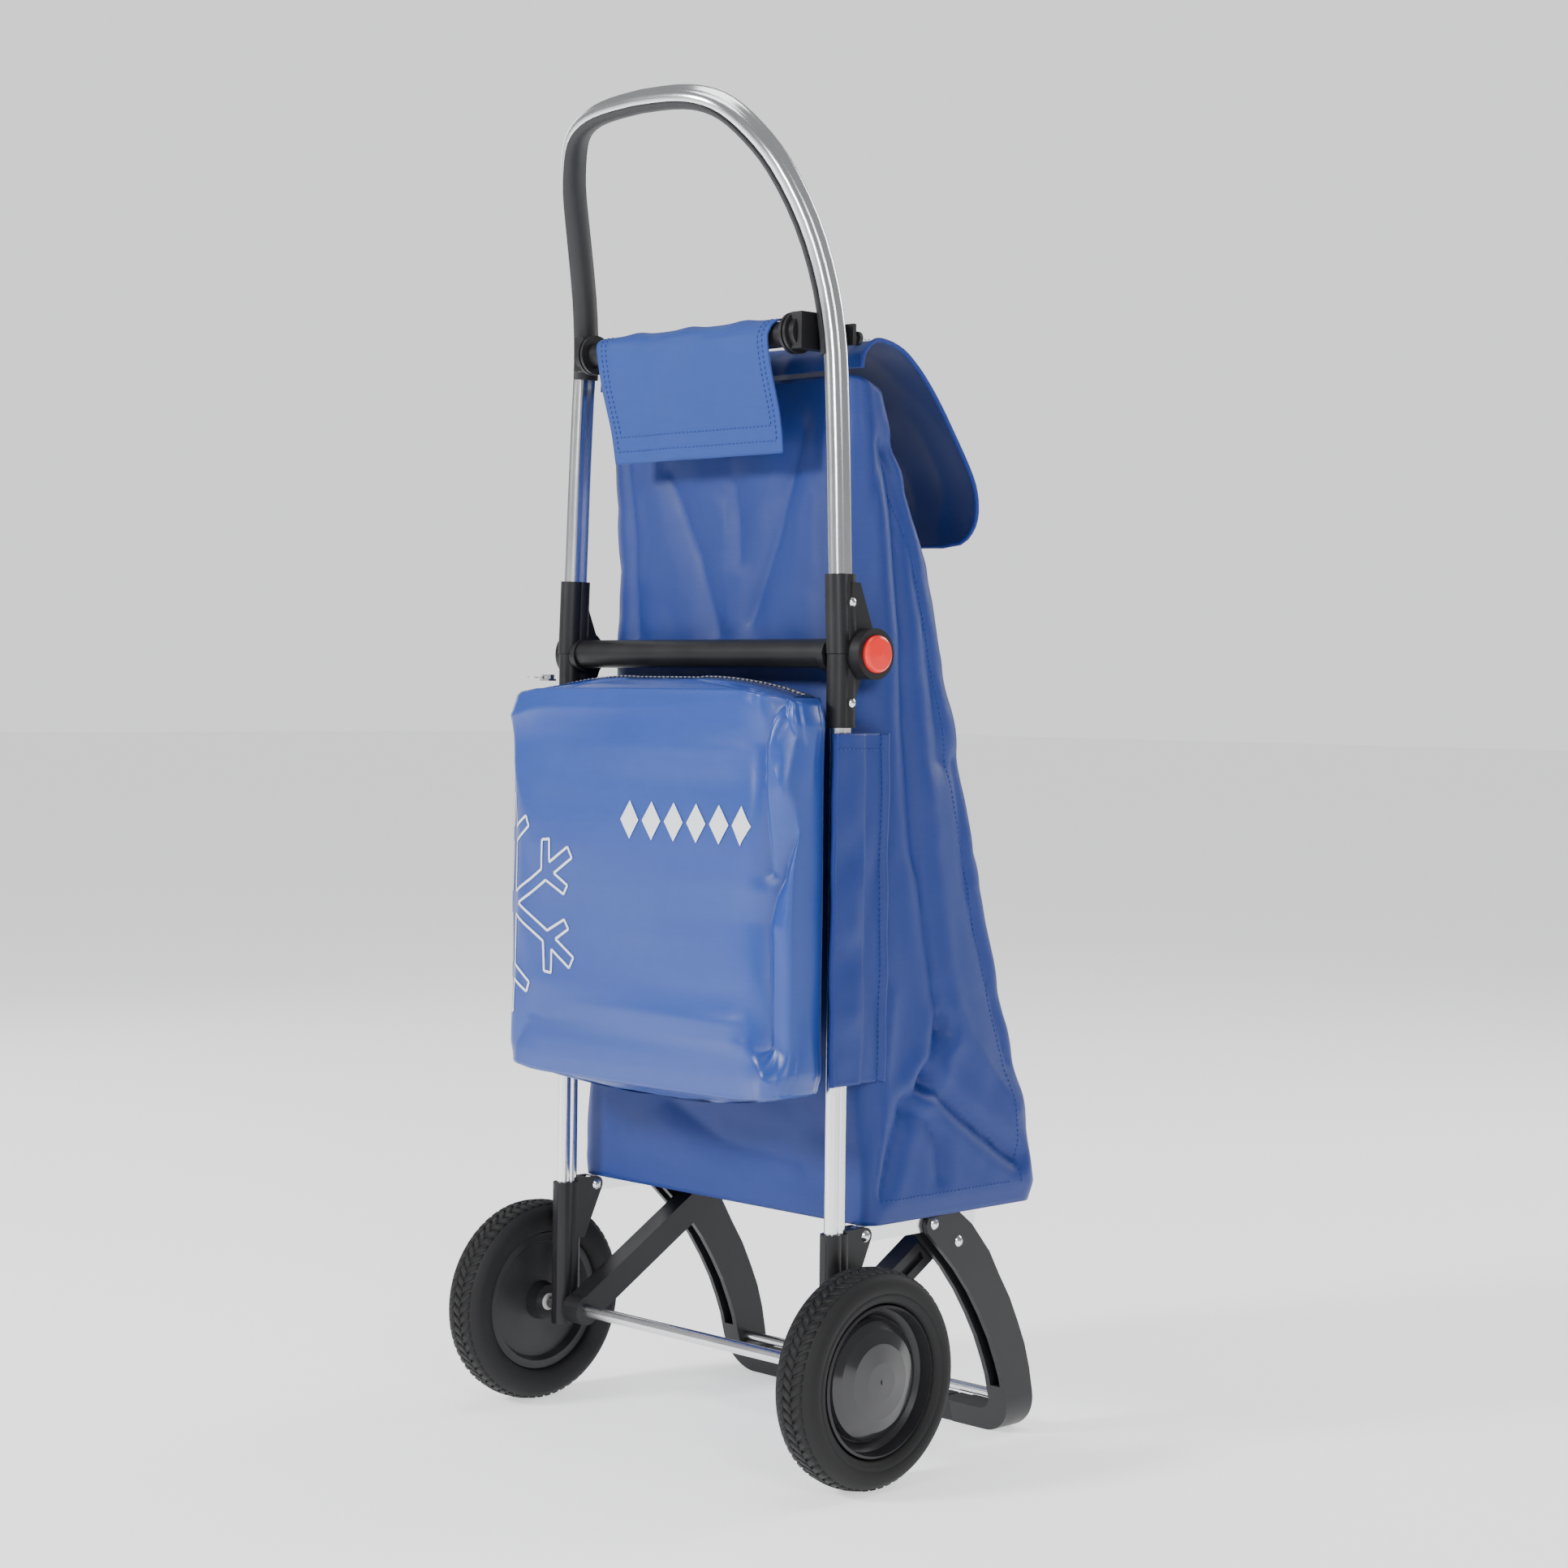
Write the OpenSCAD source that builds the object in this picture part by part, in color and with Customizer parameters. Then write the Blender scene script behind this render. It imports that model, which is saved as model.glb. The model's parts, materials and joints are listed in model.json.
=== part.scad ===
// Folding shopping trolley: two-wheeled frame, front bag with lid flap, cool bag at the back.
// Millimetres. X across, +Y towards the front of the bag, +Z up, floor at Z = 0.
// Every module below places its piece from the axle, and at_axle() moves it into the part's frame.

/* [Wheels] */
// Outside diameter of the tyre
wheel_d = 165; // [160:1:170]
// Width of the tyre
tyre_w = 40; // [34:1:42]
// Distance between the two wheels' middle planes
track = 385; // [382:1:400]
// Diameter of the steel axle
axle_d = 10; // [8:1:12]

/* [Frame] */
// Distance between the middles of the two lower uprights
upright_spacing = 312; // [311:0.5:313]
// Height of the handle hinge above the floor
hinge_z = 623; // [620:1:626]
// How far the handle hinge stands in front of the axle
hinge_y = 20; // [19:0.5:21]
// Height of the top of the plastic wheel brackets
bracket_top = 185; // [183:1:186]
// Outside diameter of the cross bar between the hinges
crossbar_d = 22.8; // [20:0.1:24]

/* [Handle] */
// Height of the middle of the handle's top bar
handle_z = 1052; // [1045:1:1056]
// Height of the bar that the bag hangs on
bag_bar_z = 867; // [864:1:870]
// How far the grip stands inside the tube
grip_depth = 4.6; // [3:0.1:5]

/* [Platform and stand] */
// Height of the middle of the platform tube
platform_z = 181; // [180.5:0.1:181]
// How far in front of the axle the platform ends
platform_front = 172; // [170:1:174]
// Width of the struts between axle and legs
strut_w = 22; // [18:1:23]

/* [Bag] */
// How far in front of the axle the bag's bottom reaches
bag_front = 229; // [226:1:230]
// Thickness of the bag's walls
bag_wall = 2.2; // [1.6:0.1:3]
// Half the width of the lid flap
flap_half = 150; // [140:1:152]

/* [Hidden] */
$fn = 64;

wheel_r = wheel_d / 2;
axle_r = axle_d / 2;
axle_y = -(bag_front - wheel_r) / 2;
half_track = track / 2;
side_x = upright_spacing / 2;
upright_y = 3;
run = 0.05;            // radial clearance of a pin that turns
slip = 0.1;            // gap round a piece that is pushed in
low_r = 5.5;           // lower tube: radius of each of its two lobes
low_s = 3.75;          // and how far each lobe's middle is from the tube's middle
top_r = 6.25;          // upper tube, the same
top_s = 4.25;
tube_wall = 1.3;
sleeve_wall = 3;
low_tube_bottom = 96;
low_tube_top = 604;
hinge_foot = 567;
hinge_head = 683;
knuckle_r = 13;
knuckle_x = 157.7;
housing_r = 19.5;
housing_x = 158.3;
housing_end = 176;
button_r = 14.3;
button_seat = 163;
bush_r = 6;
pin_r = 4;
handle_tilt = 2.32;    // the upper tubes lean inwards by this angle
handle_low_x = 155.6;  // middle of the upper tube at handle_low_z
handle_low_z = 640;
lean_start = 845;      // above this height the handle leans back
lean = 0.00168;
pivot_a = [29, platform_z];
pivot_c = [106.3, platform_z];
pivot_d = [134.6, 164.3];
rivet_r = 3;
rail_in = 150.1;
rail_out = 159.4;
rail_half = 6;
leg_in = 145;
leg_out = 164;
cheek = 4.6;
strut_in = 124;
strut_out = 142;
base_z = [190.7, 197];
bag_split = 612;
black = [0.10, 0.10, 0.105];
cloth = [0.10, 0.22, 0.58];
metal = [0.82, 0.83, 0.85];

module at_axle() { translate([0, axle_y, 0]) children(); }

// Lays a shape drawn in (Y, Z) upright and gives it a thickness from x0 to x1.
module across(x0, x1) {
    translate([x0, 0, 0]) rotate([90, 0, 90]) linear_extrude(x1 - x0) children();
}

// Draws a right-hand piece, mirrored when side is -1.
module on_side(side) { mirror([side < 0 ? 1 : 0, 0, 0]) children(); }

// A rod along X from x0 to x1 at (y, z).
module rod(x0, x1, y, z, r) { translate([x0, y, z]) rotate([0, 90, 0]) cylinder(h = x1 - x0, r = r); }

// Two round lobes side by side along Y: the outline of every frame tube.
module lobes(r, s) {
    translate([0, s]) circle(r);
    translate([0, -s]) circle(r);
    square([2 * sqrt(r * r - s * s), 2 * s], center = true);
}

// A rivet with two domed heads on a shank along X, from x0 to x1.
module rivet(x0, x1, y, z, r, head_r) {
    rod(x0, x1, y, z, r);
    translate([x1, y, z]) rivet_head(head_r);
    translate([x0, y, z]) mirror([1, 0, 0]) rivet_head(head_r);
}

module rivet_head(head_r) {
    ball = head_r * 1.25;
    rotate([0, 90, 0]) intersection() {
        translate([0, 0, -ball * 0.6]) sphere(ball);
        cylinder(h = ball, r = head_r);
    }
}

// ---- curves ----

// Point t (0 to 1) of the smooth curve between p1 and p2, with p0 and p3 beyond them.
function smooth_point(p0, p1, p2, p3, t) =
    0.5 * (2 * p1 + (p2 - p0) * t + (2 * p0 - 5 * p1 + 4 * p2 - p3) * t * t
    + (3 * p1 - p0 - 3 * p2 + p3) * t * t * t);

// The smooth curve through pts, with steps points for each stretch.
function smooth_curve(pts, steps) = [
    for (i = [0:len(pts) - 2], k = [0:steps - 1])
        smooth_point(pts[max(i - 1, 0)], pts[i], pts[i + 1], pts[min(i + 2, len(pts) - 1)], k / steps),
    pts[len(pts) - 1]
];

function unit(v) = v / norm(v);

// Closed band of thickness t along a flat curve.
function normal_at(c, i) = let (d = unit(c[min(i + 1, len(c) - 1)] - c[max(i - 1, 0)])) [-d[1], d[0]];
function band(c, t) = concat(c, [for (i = [len(c) - 1:-1:0]) c[i] - t * normal_at(c, i)]);

// Skin over rings of n points each, with flat ends.
module skin(rings) {
    n = len(rings[0]);
    m = len(rings);
    middle = function (r) [for (k = [0:2]) mean([for (p = r) p[k]])];
    sides = [for (i = [0:m - 2], j = [0:n - 1])
        let (a = i * n + j, b = i * n + (j + 1) % n) [a, a + n, b + n, b]];
    low = [for (j = [0:n - 1]) [m * n, j, (j + 1) % n]];
    high = [for (j = [0:n - 1]) [m * n + 1, (m - 1) * n + (j + 1) % n, (m - 1) * n + j]];
    polyhedron(concat([for (r = rings) each r], [middle(rings[0]), middle(rings[m - 1])]),
        concat(sides, low, high));
}
function mean(v) = [for (x = v) 1] * v / len(v);

// ---- the handle's line ----

handle_half = [
    [handle_low_x, handle_low_z], [153.2, 700], [151.1, 760], [148.7, 810], [146.3, 850], [141.6, 900],
    [133.4, 950], [120.5, 992], [106, 1017], [88, 1036], [66, 1046], [38, handle_z - 1.5], [0, handle_z]
];
function back_at(z) = upright_y - (z > lean_start ? lean * pow(z - lean_start, 2) : 0);
function tilt_at(z) = z > lean_start ? atan(2 * lean * (z - lean_start)) : 0;
handle_rise = smooth_curve(handle_half, 3);
handle_line = concat(
    handle_rise,
    [for (i = [len(handle_rise) - 2:-1:0]) [-handle_rise[i][0], handle_rise[i][1]]]
);
handle_path = [for (p = handle_line) [p[0], back_at(p[1]), p[1]]];

// Axes of the section at point i: along the tube, outwards, and across the loop.
function along_at(i) = i == 0 ? unit([-sin(handle_tilt), 0, cos(handle_tilt)])
    : i == len(handle_path) - 1 ? unit([-sin(handle_tilt), 0, -cos(handle_tilt)])
    : unit(handle_path[i + 1] - handle_path[i - 1]);
function across_at(i) = let (t = tilt_at(handle_path[i][2]), v = [0, cos(t), sin(t)], a = along_at(i))
    unit(v - (v * a) * a);
function out_at(i) = cross(across_at(i), along_at(i));
function section_at(i, shape) = [for (q = shape) handle_path[i] + q[0] * out_at(i) + q[1] * across_at(i)];

// Outline of the two-lobed tube as points: outwards and across, n points on each lobe.
function lobe_points(r, s, n) = let (from = -asin(s / r) + 6, step = (180 - 2 * from) / (n - 1)) [
    for (side = [1, -1], k = [0:n - 1]) let (a = from + k * step)
        [side * r * cos(a), side * (s + r * sin(a))]];
function oval(rx, ry, a) = [rx * cos(a), ry * sin(a)];

// ---- wheels ----

module tyre(side) {
    color(black) on_side(side) translate([half_track, 0, wheel_r]) rotate([0, 90, 0])
        rotate_extrude() translate([(wheel_r + 57) / 2, 0]) polygon([for (a = [0:10:350])
            let (c = cos(a), s = sin(a))
            [sign(c) * (wheel_r - 57) / 2 * pow(abs(c), 0.8), sign(s) * tyre_w / 2 * pow(abs(s), 0.72)]]);
}

// Moulded rim: barrel, dished outer face and hub.
module rim(side) {
    face = half_track + 13;
    color(black) on_side(side) translate([0, 0, wheel_r]) rotate([0, 90, 0]) difference() {
        rotate_extrude() polygon([
            [7, half_track - 19], [14, half_track - 19], [16, half_track - 8], [47, half_track - 6],
            [50, half_track - 12], [56.4, half_track - 12], [56.4, face + 3], [54.5, face + 4],
            [53, face - 6], [46.8, face - 11], [20, face - 11], [12, face - 6], [7, face - 6]
        ]);
        translate([0, 0, half_track - 30]) cylinder(h = 60, r = 7);
    }
}

module hub_cap(side) {
    edge = half_track + 2.2;
    color([0.16, 0.16, 0.17]) on_side(side) translate([0, 0, wheel_r]) rotate([0, 90, 0])
        rotate_extrude() polygon([
            [0, edge + 11.6], [13, edge + 12], [13, edge + 9], [40, edge + 3], [44, edge + 0.2], [46, edge + 0.2],
            [46.2, edge + 4], [44, edge + 7], [38, edge + 10.5], [28, edge + 13.4], [14, edge + 15.2],
            [0, edge + 15.8]
        ]);
}

module wheel_bush(side) {
    color([0.75, 0.75, 0.72]) on_side(side) difference() {
        rod(half_track - 19, half_track + 7, 0, wheel_r, 7 - 0.02);
        rod(half_track - 25, half_track + 15, 0, wheel_r, axle_r + run);
    }
}

module axle() {
    end = half_track + 11;
    color(metal) rod(-end, end, 0, wheel_r, axle_r);
}

module axle_push_nuts() {
    color(metal) for (side = [-1, 1]) on_side(side) difference() {
        rod(half_track + 7.3, half_track + 9.3, 0, wheel_r, 9);
        rod(half_track, half_track + 20, 0, wheel_r, axle_r + 0.02);
    }
}

// ---- lower frame ----

module upright(side) {
    color(metal) on_side(side) translate([side_x, upright_y, low_tube_bottom])
        linear_extrude(low_tube_top - low_tube_bottom) difference() {
            lobes(low_r, low_s);
            lobes(low_r - tube_wall, low_s - 0.3);
        }
}

// Plastic foot of the upright: holds the axle and, in its fork, the platform.
module bracket(side) {
    bottom = 68;
    ear_r = 6.4;
    color(black) on_side(side) difference() {
        union() {
            translate([side_x, upright_y, bottom]) linear_extrude(bracket_top - bottom)
                lobes(low_r + sleeve_wall, low_s);
            for (y = [-1, 1]) translate([side_x, upright_y + y * 8.4, bottom])
                linear_extrude(bracket_top - bottom - 6) square([5, 7.6], center = true);
            across(147.6, leg_out) union() {
                polygon([[8, 138], [8, platform_z + ear_r], [pivot_a[0], platform_z + ear_r],
                    [pivot_a[0] + 5.6, platform_z - 3.2], [16, 138]]);
                translate(pivot_a) circle(ear_r);
            }
        }
        translate([side_x, upright_y, low_tube_bottom - 0.2]) linear_extrude(200)
            lobes(low_r + slip, low_s);
        across(rail_in - 0.4, rail_out + 0.4) translate([20.5, 120]) square([40, 100]);
        rod(140, 170, 0, wheel_r, axle_r + 0.02);
        rod(140, 170, pivot_a[0], pivot_a[1], rivet_r + run);
    }
}

module hinge_lower(side) {
    color(black) on_side(side) difference() {
        union() {
            translate([side_x, upright_y, hinge_foot]) linear_extrude(hinge_z - 0.4 - hinge_foot)
                lobes(low_r + sleeve_wall, low_s);
            rod(147.6, knuckle_x, hinge_y, hinge_z, knuckle_r);
            across(147.6, knuckle_x) polygon([[3, hinge_z - 44], [13, hinge_z - 44],
                [hinge_y + 6, hinge_z - 11], [hinge_y, hinge_z], [3, hinge_z - 1]]);
        }
        translate([side_x, upright_y, hinge_foot - 1]) linear_extrude(low_tube_top + 1.2 - hinge_foot)
            lobes(low_r + slip, low_s);
        rod(housing_x - 0.35, 190, hinge_y, hinge_z, housing_r + 0.5);
        rod(140, 170, hinge_y, hinge_z, bush_r + 0.02);
        rod(160, 170, upright_y + low_s, 586, 2.05);
    }
}

module hinge_crossbar() {
    flange = 147.3;
    color(black) difference() {
        union() {
            rod(-flange, flange, upright_y + 1, hinge_z, crossbar_d / 2);
            for (side = [-1, 1]) on_side(side) rod(141, flange, upright_y + 1, hinge_z - 1, 13);
        }
        rod(-140, 140, upright_y + 1, hinge_z, crossbar_d / 2 - 1.6);
        // Room for the handle's knuckle and sleeve where they turn
        for (side = [-1, 1]) on_side(side) translate([146.6, -20, hinge_z - 0.4]) cube([10, 60, 30]);
    }
}

// Steel bushes that the handle turns on.
module hinge_bushes() {
    color(metal) for (side = [-1, 1]) on_side(side) difference() {
        rod(148, button_seat - 0.3, hinge_y, hinge_z, bush_r);
        rod(140, 170, hinge_y, hinge_z, pin_r + run);
    }
}

module lower_rivets() {
    color(metal) for (side = [-1, 1]) on_side(side) {
        rod(161.9, 164.6, upright_y + low_s, 586, 2);
        translate([164.55, upright_y + low_s, 586]) rivet_head(3.6);
    }
}

module platform_rivets() {
    color(metal) for (side = [-1, 1]) on_side(side)
        rivet(147.5, leg_out + 0.1, pivot_a[0], pivot_a[1], rivet_r, 4.6);
}

// ---- upper frame ----

module handle_tube() {
    last = len(handle_path) - 1;
    shape = lobe_points(top_r, top_s, 11);
    color(metal) skin([for (i = [0:last]) section_at(i, shape)]);
}

// Grip strip on the inner side of the loop, lips round the tube's front and back.
module handle_grip() {
    outer = [for (a = [96:14:264]) oval(top_r + grip_depth, top_r + top_s + 1.7, a)];
    near = top_r + 0.4;
    inner = [
        for (a = [264:-22:154]) [near * cos(a), -top_s + near * sin(a)],
        [-sqrt(near * near - top_s * top_s), 0],
        for (a = [206:-22:96]) [near * cos(a), top_s + near * sin(a)]
    ];
    shape = concat(outer, inner);
    start = grip_start();
    last = len(handle_path) - 1 - start;
    color([0.2, 0.2, 0.21]) channel_skin([for (i = [start:last]) section_at(i, shape)], len(outer));
}
function grip_start() = [for (i = [0:len(handle_rise) - 1]) if (handle_rise[i][1] > 846) i][0];

// Skin over C-shaped rings: half points outside, half inside, ends closed by quads between them.
module channel_skin(rings, half) {
    n = len(rings[0]);
    m = len(rings);
    sides = [for (i = [0:m - 2], j = [0:n - 1])
        let (a = i * n + j, b = i * n + (j + 1) % n) [a, b, b + n, a + n]];
    function rung(base, j) = [base + j, base + n - 1 - j, base + n - 2 - j, base + j + 1];
    low = [for (j = [0:half - 2]) rung(0, j)];
    high = [for (j = [0:half - 2]) let (q = rung((m - 1) * n, j)) [q[3], q[2], q[1], q[0]]];
    polyhedron([for (r = rings) each r], concat(sides, low, high));
}

// Sleeve on the foot of the upper tube, with the round button housing.
module hinge_upper(side) {
    color(black) on_side(side) difference() {
        union() {
            intersection() {
                upper_column(top_r + 2.6, top_s, -30, hinge_head - handle_low_z);
                translate([140, -20, hinge_z]) cube([40, 60, 80]);
            }
            rod(housing_x, housing_end, hinge_y, hinge_z, housing_r);
            across(housing_x, 163.6) polygon([[6, 677], [15, 677], [hinge_y + 12, hinge_z + 12],
                [hinge_y, hinge_z], [6, hinge_z + 14]]);
        }
        upper_column(top_r + 0.5, top_s, -0.8, 60);
        rod(140, knuckle_x + 0.35, hinge_y, hinge_z, knuckle_r + 0.6);
        rod(140, button_seat - 0.25, hinge_y, hinge_z, bush_r + run);
        rod(140, 190, hinge_y, hinge_z, pin_r + run);
        rod(button_seat, 190, hinge_y, hinge_z, button_r + 0.15);
        rod(160, 170, upright_y + top_s, 662, 2.05);
    }
}

// Two-lobed column along the upper tube, from low to high above handle_low_z.
module upper_column(r, s, low, high) {
    translate([handle_low_x, upright_y, handle_low_z]) rotate([0, -handle_tilt, 0])
        translate([0, 0, low]) linear_extrude(high - low) lobes(r, s);
}

module upper_rivets() {
    face = 163.5;
    color(metal) for (side = [-1, 1]) on_side(side) {
        rod(161.3, face + 0.1, upright_y + top_s, 662, 2);
        translate([face, upright_y + top_s, 662]) rivet_head(3.6);
    }
}

module bag_bar() {
    color(black) rod(-113.8, 113.8, -11, bag_bar_z, 10);
}

// Ribbed collar and the clamp that holds it to the tube.
module bar_collar(side) {
    color(black) on_side(side) difference() {
        union() {
            rod(114, 116.6, -11, bag_bar_z, 16);
            rod(116.6, 118.4, -11, bag_bar_z, 14.4);
            rod(118.4, 121, -11, bag_bar_z, 16);
            rod(121, 127, -11, bag_bar_z, 13);
            translate([121, -20, bag_bar_z - 13]) cube([14, 30, 28]);
            translate([130, 15.4, bag_bar_z - 9]) cube([22, 3.6, 16]);
            translate([130, 6, bag_bar_z - 9]) cube([4.4, 13, 16]);
        }
        translate([132.2, -30, bag_bar_z - 60]) cube([40, 45.2, 120]);
    }
}

module bag_hooks() {
    color(black) for (side = [-1, 1]) on_side(side)
        translate([146, 19, bag_bar_z - 3]) rotate([-90, 0, 0]) {
            cylinder(h = 5, r = 3);
            translate([0, 0, 5]) cylinder(h = 3.4, r = 5.4);
        }
}

// ---- platform, stand and struts ----

module round_corner_outline(front, half, r) {
    translate([-half, pivot_a[0]]) square([2 * half, front - pivot_a[0] - r]);
    translate([-half + r, pivot_a[0]]) square([2 * (half - r), front - pivot_a[0]]);
    for (side = [-1, 1]) translate([side * (half - r), front - r]) circle(r);
}

module platform_frame() {
    tube = rail_out - rail_in;
    color(metal) difference() {
        union() {
            translate([0, 0, platform_z - rail_half]) linear_extrude(2 * rail_half) difference() {
                round_corner_outline(platform_front, rail_out, 22);
                translate([0, -10]) round_corner_outline(platform_front - tube + 10, rail_in, 22 - tube);
            }
            for (side = [-1, 1]) on_side(side) rod(rail_in, rail_out, pivot_a[0], pivot_a[1], rail_half);
        }
        for (side = [-1, 1], p = [pivot_a, pivot_c]) on_side(side)
            rod(140, 170, p[0], p[1], rivet_r + run);
    }
}

leg_front = [[134, 188], [150, 176], [171, 152], [183, 132], [196, 112], [206, 92], [215, 72], [221, 52],
    [225, 32], [bag_front - 2, 14], [bag_front - 2, 0]];
leg_back = [[201, 0], [196, 18], [191, 36], [188, 48], [182.6, 62], [173.6, 82], [162, 102], [148.5, 122],
    [132, 142], [118, 156], [99, 174], [97, 180], [99, 186]];

// Leg seen from the side, and from the front, where its foot turns inwards.
module leg_side() { polygon(concat(leg_front, leg_back)); }
module leg_face() {
    bend = 30;
    difference() {
        union() {
            translate([leg_in, bend]) square([leg_out - leg_in, 200]);
            translate([leg_out - bend, bend]) circle(bend);
            translate([100, 0]) square([leg_out - bend - 100, 18]);
        }
        translate([80, 18]) square([leg_in - 80 - 12, 200]);
        translate([leg_in - 12, bend]) circle(12);
        translate([80, 30]) square([leg_in - 80, 200]);
    }
}

module leg(side) {
    color(black) on_side(side) difference() {
        intersection() {
            across(90, 170) leg_side();
            rotate([90, 0, 0]) translate([0, 0, -260]) linear_extrude(200) leg_face();
        }
        // Fork for the platform tube, running down the back of the leg as a channel
        across(leg_in + cheek, leg_out - cheek + 0.4) {
            translate([90, 160]) square([80, 60]);
            intersection() {
                translate([-11, -9]) leg_side();
                translate([90, 40]) square([140, 160]);
            }
        }
        for (p = [pivot_c, pivot_d]) rod(140, 170, p[0], p[1], rivet_r + 0.02);
        rod(130, 158, 203, 30, 4.02);
    }
}

module foot_bar() {
    pitch = 12;
    color(black) difference() {
        translate([-99.8, 202, 0]) cube([199.6, bag_front - 2 - 202, 17]);
        for (i = [-7:7]) translate([i * pitch - 1.2, 200, 9]) cube([2.4, 40, 20]);
    }
}

module stand_rod() { color(metal) rod(-157.6, 157.6, 203, 30, 4); }

module stand_rivets() {
    color(metal) for (side = [-1, 1], p = [pivot_c, pivot_d]) on_side(side)
        rivet(leg_in - 0.1, leg_out + 0.1, p[0], p[1], rivet_r, 4.4);
}

module strut(side) {
    reach = pivot_d - [0, wheel_r];
    color(black) on_side(side) difference() {
        across(strut_in, strut_out) {
            translate([0, wheel_r]) rotate(atan2(reach[1], reach[0])) translate([0, -strut_w / 2])
                square([norm(reach), strut_w]);
            translate([0, wheel_r]) circle(strut_w / 2 + 1);
            translate(pivot_d) circle(strut_w / 2);
        }
        // Long groove in the outer face
        across(strut_out - 4, strut_out + 1) translate([0, wheel_r])
            rotate(atan2(reach[1], reach[0])) translate([24, -3.5]) square([norm(reach) - 46, 7]);
        rod(120, 150, 0, wheel_r, axle_r + run);
        rod(120, 150, pivot_d[0], pivot_d[1], rivet_r + 0.3);
    }
}

// ---- hinge buttons ----

module button(side) {
    color([0.88, 0.12, 0.12]) on_side(side) difference() {
        translate([169, hinge_y, hinge_z]) rotate([0, 90, 0]) rotate_extrude() polygon([
            [0, 0], [button_r, 0], [button_r, 9], [button_r - 0.7, 10.6], [button_r - 2.4, 11.6], [0, 12.2]]);
        rod(160, 172, hinge_y, hinge_z, pin_r + 0.02);
    }
}

module lock_pin(side) { color(metal) on_side(side) rod(152.5, 171.9, hinge_y, hinge_z, pin_r); }

module button_spring(side) {
    color(metal) on_side(side) difference() {
        rod(button_seat + 0.1, 168.9, hinge_y, hinge_z, 9);
        rod(160, 170, hinge_y, hinge_z, 7.4);
    }
}

// ---- soft parts ----

// Ring of a bag: half width, back, front, corner radius at the back and at the front, height.
function corner(cx, cy, r, a0) = [for (k = [0:5]) [cx + r * cos(a0 + 18 * k), cy + r * sin(a0 + 18 * k)]];
function bag_ring(q, wall) = let (w = q[0] - wall, b = q[1] + wall, f = q[2] - wall,
        rb = max(q[3] - wall, 1), rf = max(q[4] - wall, 1)) [
    for (p = concat(corner(w - rf, f - rf, rf, 0), corner(-w + rf, f - rf, rf, 90),
        corner(-w + rb, b + rb, rb, 180), corner(w - rb, b + rb, rb, 270))) [p[0], p[1], q[5]]];

// half width, back, front, back corner radius, front corner radius, height
lower_rings = [
    [170, 25, bag_front - 2, 14, 16, 188], [170.5, 25, bag_front, 14, 18, 204], [168, 25, 226, 16, 20, 250],
    [165, 25, 213, 20, 22, 303], [163, 25, 196, 26, 24, 362], [161, 25, 180, 32, 26, 423],
    [157, 25, 150, 40, 26, 550], [154.5, 25, 136, 42, 26, bag_split]];
upper_rings = [
    [154.5, 25, 136, 42, 26, bag_split + 0.6], [153.5, 25, 130, 42, 26, 642], [151.5, 25, 118, 40, 24, 692],
    [150, 25, 96, 30, 20, 755], [148.5, 25, 80, 22, 18, 800], [147, 25, 66, 16, 14, 838]];

// Walls of a bag. Its inside starts floor_z above its bottom ring.
module bag_tube(rings, floor_z) {
    last = len(rings) - 1;
    inner = [for (q = rings) bag_ring(q, bag_wall)];
    color(cloth) difference() {
        skin([for (q = rings) bag_ring(q, 0)]);
        skin([[for (p = inner[0]) p + [0, 0, floor_z]], for (i = [1:last]) inner[i],
            [for (p = inner[last]) p + [0, 0, 1]]]);
    }
}
module bag_lower() { bag_tube(lower_rings, bag_wall); }
module bag_upper() {
    difference() {
        bag_tube(upper_rings, -1);
        // The mouth is lower at the front
        translate([-200, 25, 842]) rotate([-38, 0, 0]) cube([400, 120, 60]);
    }
}

module bag_base() {
    half = 142;
    color(cloth) translate([0, 0, base_z[0]]) linear_extrude(base_z[1] - base_z[0]) {
        translate([-half, 40]) square([2 * half, 170]);
        translate([-half + 12, 40]) square([2 * half - 24, 182]);
        for (side = [-1, 1]) translate([side * (half - 12), 210]) circle(12);
    }
}

flap_line = smooth_curve([[24, 843], [29, 857], [47, 865], [80, 855], [118, 820], [157, 771], [171, 738],
    [174, 712]], 4);

module flap_outline() {
    round = 45;
    translate([-flap_half, 712 + round]) square([2 * flap_half, 180]);
    translate([-flap_half + round, 712]) square([2 * (flap_half - round), 200]);
    for (side = [-1, 1]) translate([side * (flap_half - round), 712 + round]) circle(round);
}

module bag_flap() {
    color(cloth) intersection() {
        across(-flap_half, flap_half) polygon(band(flap_line, 2.2));
        rotate([90, 0, 0]) translate([0, 0, -220]) linear_extrude(260) flap_outline();
    }
}

// Small cloth panel over the bag bar, at the back.
module rear_flap() {
    line = [[-9, 878.6], [-14, 878.2], [-19.4, 875], [-22.2, 870], [-22.6, 862], [-18, 840], [-8, 806],
        [-3, 778]];
    color(cloth) across(-102, 102) polygon(band(line, -0.8));
}

thermo_rings = [
    [146, -50, -22, 10, 10, 270], [158, -58, -14, 14, 10, 282], [162, -62, -10.6, 16, 8, 320],
    [163, -63, -10.6, 16, 8, 430], [162, -61, -10.6, 16, 8, 560], [161, -56, -10.6, 14, 8, 588],
    [158, -48, -12, 10, 8, 600]];
module thermo_bag() {
    color(cloth) skin([for (q = thermo_rings) bag_ring(q, 0)]);
}

module side_sleeve(side) {
    color(cloth) on_side(side) translate([167.4, -12, 297]) cube([2.4, 54, 266]);
}

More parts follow.
